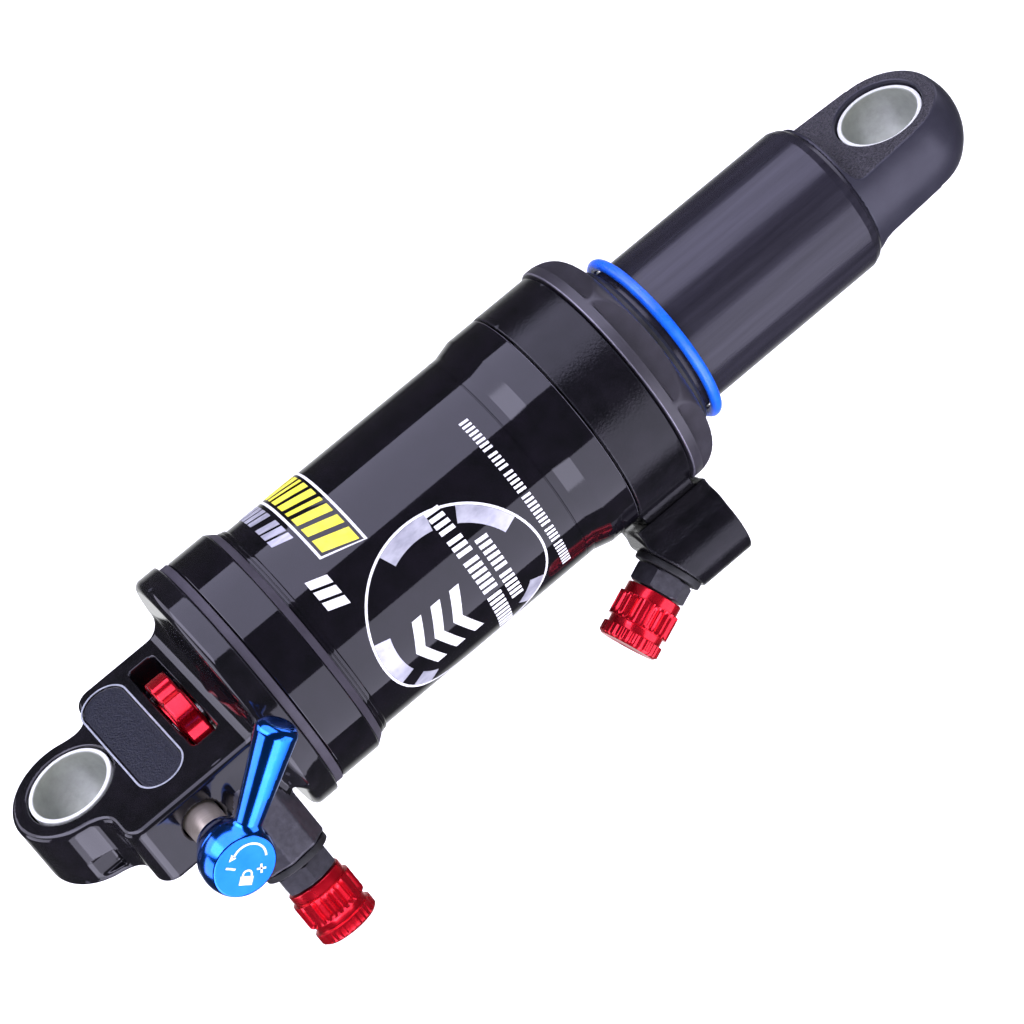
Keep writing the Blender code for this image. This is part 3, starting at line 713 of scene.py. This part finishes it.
moulded("rebound_dial", wheel_field, (-22.7, -9.6, -9.6), (-17.6, 9.6, 9.6), 0.2,
        "rebound_wheel", ("red",), ["rebound_wheel"])


# ---------------------------------------------------------------- valves

def valve(prefix, seat, direction):
    """A washer, a stem with a hexagon and a knurled cap, one on the other along the valve."""
    across = direction.to_track_quat("Z", "Y") @ Vector((0, 1, 0))
    line_up = dict(origin=seat, axis=direction, across=across)

    turned(prefix + "_washer_disc", [(0.05, 3.3), (0.05, 5.7, 0.15), (1.2, 5.7, 0.25), (1.2, 3.3)],
           "body", "rubber", ("rubber",), [prefix + "_washer"], 72, **line_up)

    def hexagon(along, radius, angle):
        if radius < 3.2:
            return radius
        return min(radius, 4.24 / math.cos(math.pi / 6 - abs(from_facet(angle))))

    thread = []
    for i in range(8):
        start = 5.2 + i * 0.72
        thread += [(start, 2.62), (start + 0.3, 2.9), (start + 0.42, 2.9)]
    turned(prefix + "_stem_turned", [
        (-6.0, 2.0), (-6.0, 2.9, 0.2), (1.4, 2.9), (1.4, 4.4), (1.62, 4.9), (4.38, 4.9), (4.6, 4.4),
        (4.6, 2.9)] + thread + [(11.2, 2.7, 0.1), (11.2, 2.0)],
        "body", "black_satin", ("stem",), [prefix + "_stem"], 120, shape=hexagon, **line_up)

    def knurl(along, radius, angle):
        if radius < 4.9:
            return radius
        if along > 11.9:
            return radius - 0.16 * (0.5 - 0.5 * math.cos(32 * angle))
        ribs = 0.5 - 0.5 * math.cos(28 * angle)
        depth = 0.42 if math.cos(4 * angle) > -0.75 else 0.1
        ends = min(1.0, (along - 6.7) / 0.3, (10.8 - along) / 0.3)
        return radius - depth * max(ends, 0.0) * ribs ** 0.7

    skin = [(6.7, 5.15, 0.1)] + [(6.75 + 0.45 * k, 5.15) for k in range(1, 9)] + [(10.8, 5.15, 0.1)]
    turned(prefix + "_cap_turned", [
        (4.9, 3.2), (4.9, 4.67, 0.2), (6.6, 4.67), (6.68, 4.95)] + skin + [
        (10.85, 4.95), (10.9, 4.6, 0.1), (12.1, 4.6, 0.1), (12.15, 5.15, 0.08), (13.85, 5.15, 0.1),
        (14.3, 4.6, 0.25), (14.3, 3.4), (14.22, 3.2), (14.22, 0), (13.3, 0), (13.3, 3.2)],
        prefix.split("_")[0] + "_cap", "red_anodised", ("red",), [prefix + "_cap"], 224,
        shape=knurl, **line_up)


valve("main_valve", MAIN_FOOT + MAIN_DIRECTION * 23.1, MAIN_DIRECTION)
valve("second_valve", SECOND_SEAT - SECOND_DIRECTION * 0.6, SECOND_DIRECTION)


# ---------------------------------------------------------------- printed marks

def printed(name, patches, lift, body, look):
    """Thin closed skins.

    A patch is (function of (u, v) in 0..1, columns, rows); the function gives a point in
    millimetres and the way off the surface.
    """
    bm = bmesh.new()
    for function, columns, rows in patches:
        grids = []
        for height in (-0.02, lift):
            grid = []
            for i in range(columns + 1):
                line = []
                for j in range(rows + 1):
                    spot, off = function(i / columns, j / rows)
                    line.append(bm.verts.new((spot + off * height) * MM))
                grid.append(line)
            grids.append(grid)
        low, high = grids
        for grid in grids:
            for i in range(columns):
                for j in range(rows):
                    bm.faces.new((grid[i][j], grid[i + 1][j], grid[i + 1][j + 1], grid[i][j + 1]))
        rim = [(i, 0) for i in range(columns)] + [(columns, j) for j in range(rows)]
        rim += [(i, rows) for i in range(columns, 0, -1)] + [(0, j) for j in range(rows, 0, -1)]
        for (i, j), (k, m) in zip(rim, rim[1:] + rim[:1]):
            bm.faces.new((low[i][j], low[k][m], high[k][m], high[i][j]))
    bmesh.ops.recalc_face_normals(bm, faces=bm.faces)
    mesh = bpy.data.meshes.new(name)
    bm.to_mesh(mesh)
    bm.free()
    place(dressed(name, mesh, (look,)), body)


def on_can(station, degrees):
    """A point on the can, and the way off its surface."""
    angle = math.radians(degrees)
    off = Vector((0, -math.cos(angle), math.sin(angle)))
    return Vector((-station, 0, 0)) + off * CAN_R, off


def bar(start, end, first, last, slant=0.0):
    """A mark between two stations and two angles, leaning by slant degrees."""
    def spot(u, v):
        return on_can(start + (end - start) * v, first + (last - first) * u + slant * (v - 0.5))
    return spot, max(2, int(abs(last - first) / 2.0)), 2


def hoop(radius, width, first, last):
    """Part of a ring on the unrolled can; its angles start at the can's axis, on the shaft side."""
    centre_station, centre_degrees = 62.6, 90.0

    def spot(u, v):
        angle = math.radians(first + (last - first) * u)
        reach = radius + width * (v - 0.5)
        return on_can(centre_station + reach * math.cos(angle),
                      centre_degrees + math.degrees(reach * math.sin(angle) / CAN_R))
    return spot, max(4, int(abs(last - first) / 3)), 2


def row(start, end, first, words, letter, gap, slant):
    """A row of plain bars in groups, in place of words."""
    marks, angle = [], first
    for length in words:
        for _ in range(length):
            marks.append(bar(start, end, angle, angle + letter, slant))
            angle += letter + gap
        angle += letter * 0.9
    return marks


def panel_highlight_line(u, v):
    """A painted highlight: the thin light line round the recessed panel on the block's near face,
    standing in for the reflection off the recess's bevel.
    """
    angle, reach = 2 * math.pi * (u + 0.25), 3.98 + 0.3 * v
    middle = 10.2 if math.sin(angle) >= 0 else -9.5
    spot = Vector((-11.95 + reach * math.cos(angle), -EYE_HALF_WIDTH,
                   middle + reach * math.sin(angle)))
    return spot, Vector((0, -1, 0))


# This line is no print: it is a painted highlight for the light on the panel recess's bevel.
printed("panel_edge_highlight", [(panel_highlight_line, 96, 1)], 0.04, "body", "rim")


def mark(name, patches, look, lift=0.05):
    printed(name, patches, lift, "body", look)


LARGE_BARS = [(-38.0, -32.5), (-29.5, -24.0), (-21.0, -18.0), (-15.0, -9.5), (-6.5, -1.0),
              (2.0, 5.0), (8.0, 13.5), (16.5, 22.0), (25.0, 32.5)]
EMBLEM_ARCS = [(-112, -76), (-58, -22), (30, 52), (132, 148), (160, 196)]
mark("mark_row_white", row(45.8, 49.2, 37.0, (3,), 4.4, 1.6, 3.5), "white")
mark("mark_row_grey", row(45.8, 49.2, -38.0, (5, 3), 4.4, 1.6, 3.5), "silver")
mark("mark_large_outline", [bar(49.9, 57.4, -39.5, 34.6, 6.5)], "white", 0.04)
mark("mark_large_ground", [bar(50.35, 56.95, -38.8, 33.8, 6.3)], "can", 0.07)
mark("mark_large_fill", [bar(50.85, 56.45, *ends, 6.0) for ends in LARGE_BARS], "yellow", 0.1)
mark("emblem_line", [hoop(15.5, 0.4, 0, 360)], "white")
mark("emblem_arcs", [hoop(13.9, 2.7, *ends) for ends in EMBLEM_ARCS], "silver")


def chevron(station):
    """Two slanted arms that meet at a point, on the unrolled can."""
    def arm(side):
        def spot(u, v):
            arc = side * 5.2 * u
            return on_can(station + 2.2 * u + 1.8 * v, 96.0 + math.degrees(arc / CAN_R))
        return spot, 4, 2
    return [arm(-1), arm(1)]


mark("emblem_chevrons", chevron(52.4) + chevron(56.1) + chevron(59.8), "white")
mark("mark_rows_small", row(66.1, 68.7, 46.0, (4, 3, 6, 9), 2.2, 1.4, 0.6)
     + row(69.6, 71.8, 70.0, (6, 6), 2.0, 1.4, 0.6)
     + row(79.3, 80.9, 24.0, (8, 4, 5, 8, 4, 8), 1.3, 1.1, 0.4), "white")


def on_hub(across, down):
    """A place on the lever's face: across towards the shaft eye, down away from the near side."""
    return Vector((-PIN_STATION - across, down, HUB_FACE_Z)), Vector((0, 0, 1))


def stroke(ax, ay, bx, by, width=0.34):
    """A straight line on the lever's face."""
    length = math.hypot(bx - ax, by - ay)
    nx, ny = -(by - ay) / length * width, (bx - ax) / length * width

    def spot(u, v):
        return on_hub(ax + (bx - ax) * u + nx * (v - 0.5), ay + (by - ay) * u + ny * (v - 0.5))
    return spot, 2, 1


def sweep(cx, cy, radius, first, last, width=0.34):
    """Part of a ring on the lever's face."""
    def spot(u, v):
        angle = math.radians(first + (last - first) * u)
        reach = radius + width * (v - 0.5)
        return on_hub(cx + reach * math.cos(angle), cy + reach * math.sin(angle))
    return spot, 20, 1


def arrowhead(x, y, angle, size):
    ux, uy = math.cos(angle), math.sin(angle)

    def spot(u, v):
        spread = (v - 0.5) * size * (1 - 0.98 * u)  # short of a point, to keep the tip's faces
        return on_hub(x + ux * size * u - uy * spread, y + uy * size * u + ux * spread)
    return spot, 3, 2


LOCK = [stroke(-1.9, 1.35, -0.35, 2.85, 1.5), sweep(-0.45, 1.35, 0.72, -150, 60, 0.3)]
TICKS = [stroke(-2.35, -2.2, -1.35, -0.9), stroke(1.15, 1.7, 2.35, 2.6),
         stroke(2.15, 1.45, 1.35, 2.85)]
SWING = [sweep(1.1, -0.6, 2.75, -125, 30), arrowhead(-0.35, -3.0, math.radians(168), 1.1)]
printed("lever_marks", LOCK + TICKS + SWING, 0.05, "lever", "white")


# ---------------------------------------------------------------- carried-over CAD pieces

CARRIED = {
    "rubber": ("eyelet_seal", "bottom_out_bumper", "body_seal", "top_out_bumper", "air_piston_seal",
               "rod_seal", "floating_piston_seal", "main_valve_cap_seal", "second_valve_cap_seal"),
    "bronze": ("slide_bush", "piston_band", "glide_band"),
    "steel": ("damper_rod", "compression_shims", "rebound_shims", "piston_nut", "rebound_needle",
              "lockout_rod"),
    "aluminium": ("oil_piston", "bearing_head", "floating_piston"),
    "brass": ("main_valve_core", "main_valve_core_pin", "second_valve_core",
              "second_valve_core_pin"),
}
for look, names in CARRIED.items():
    for node_name in names:
        for material_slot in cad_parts[node_name].material_slots:
            material_slot.material = LOOKS[look]


# ---------------------------------------------------------------- floor, light and camera

def stage_floor():
    mesh = bpy.data.meshes.new("studio_floor")
    bm = bmesh.new()
    bmesh.ops.create_circle(bm, cap_ends=True, segments=96, radius=9.0)
    bm.to_mesh(mesh)
    bm.free()
    floor = linked("studio_floor", mesh)
    floor.location = (SHOCK_MIDDLE_X, 0, -FLOOR_DROP)
    paper = bpy.data.materials.new("studio_paper")
    paper.use_nodes = True
    shader = paper.node_tree.nodes["Principled BSDF"]
    shader.inputs["Base Color"].default_value = (0.95, 0.95, 0.95, 1)
    shader.inputs["Roughness"].default_value = 0.9
    shader.inputs["Specular IOR Level"].default_value = 0.1
    mesh.materials.append(paper)
    floor.visible_glossy = False


def panel_light(name, width, length, radiance, colour=VIOLET):
    """A soft light whose energy comes from how bright it looks, so that size changes no glare."""
    data = bpy.data.lights.new(name, "AREA")
    data.shape = "RECTANGLE"
    data.size, data.size_y = length, width
    data.energy = radiance * math.pi * width * length
    data.color = colour
    light = linked(name, data)
    light.visible_camera = False
    return light


def softbox(name, degrees, distance, width, length, radiance, centre_x=SHOCK_MIDDLE_X,
            colour=VIOLET):
    """A panel along the shock that faces it, at an angle round it from -Y towards +Z."""
    angle = math.radians(degrees)
    outward = Vector((0, -math.cos(angle), math.sin(angle)))
    along = Vector((1, 0, 0))
    matrix = Matrix((along, outward.cross(along), outward)).transposed().to_4x4()
    matrix.translation = Vector((centre_x, 0, 0)) + outward * distance
    panel_light(name, width, length, radiance, colour).matrix_world = matrix


def side_card(name, direction, distance, size, radiance):
    """A square panel that faces the shock from a direction."""
    way = Vector(direction).normalized()
    light = panel_light(name, size, size, radiance)
    light.rotation_euler = way.to_track_quat("Z", "Y").to_euler()
    light.location = Vector((SHOCK_MIDDLE_X, 0, 0)) + way * distance


def fill(strength):
    """A broad light from above that shows in no reflection."""
    data = bpy.data.lights.new("fill", "SUN")
    data.energy = strength
    data.angle = math.radians(80)
    linked("fill", data).visible_glossy = False


def studio_world():
    """White where it is seen, dark where it is reflected, but for a glow behind the shock."""
    world = bpy.data.worlds.new("studio")
    bpy.context.scene.world = world
    world.use_nodes = True
    tree = world.node_tree
    link = tree.links.new
    background = tree.nodes["Background"]
    coords = tree.nodes.new("ShaderNodeTexCoord")
    dot = tree.nodes.new("ShaderNodeVectorMath")
    dot.operation = "DOT_PRODUCT"
    link(coords.outputs["Generated"], dot.inputs[0])
    dot.inputs[1].default_value = CAMERA_FORWARD
    glow = tree.nodes.new("ShaderNodeMapRange")
    link(dot.outputs["Value"], glow.inputs["Value"])
    glow.inputs["From Min"].default_value = math.cos(math.radians(34))
    glow.inputs["From Max"].default_value = math.cos(math.radians(12))
    glow.inputs["To Min"].default_value = 0.06
    glow.inputs["To Max"].default_value = 0.9
    path = tree.nodes.new("ShaderNodeLightPath")
    seen = tree.nodes.new("ShaderNodeMix")
    seen.data_type = "FLOAT"
    link(path.outputs["Is Camera Ray"], seen.inputs["Factor"])
    link(glow.outputs["Result"], seen.inputs["A"])
    seen.inputs["B"].default_value = 1.0
    background.inputs["Color"].default_value = (0.97, 0.98, 1.0, 1)
    link(seen.outputs["Result"], background.inputs["Strength"])


def studio_camera():
    data = bpy.data.cameras.new("camera")
    data.sensor_width = 36.0
    data.lens = 125.86
    data.clip_start, data.clip_end = 0.02, 40.0
    camera = linked("camera", data)
    matrix = Matrix((CAMERA_RIGHT, -CAMERA_DOWN, -CAMERA_FORWARD)).transposed().to_4x4()
    matrix.translation = CAMERA_PLACE
    camera.matrix_world = matrix
    bpy.context.scene.camera = camera


stage_floor()
softbox("softbox_behind", 115.0, 0.9, 1.08, 1.7, 2.5)
softbox("softbox_front", -6.0, 0.9, 1.08, 1.7, 3.2, colour=(0.74, 0.72, 1.0))
softbox("softbox_behind_end", 130.0, 0.88, 1.76, 0.74, 2.8, centre_x=0.55)
softbox("softbox_front_end", -21.0, 0.88, 1.76, 0.74, 2.8, centre_x=0.55)
side_card("card_body_end", (1.0, -0.15, -0.25), 1.3, 0.9, 3.0)
side_card("card_shaft_end", (-1.0, -0.2, -0.3), 1.3, 0.7, 1.6)
fill(2.7)
studio_world()
studio_camera()
bpy.context.scene.view_settings.view_transform = "Standard"
bpy.context.view_layer.update()
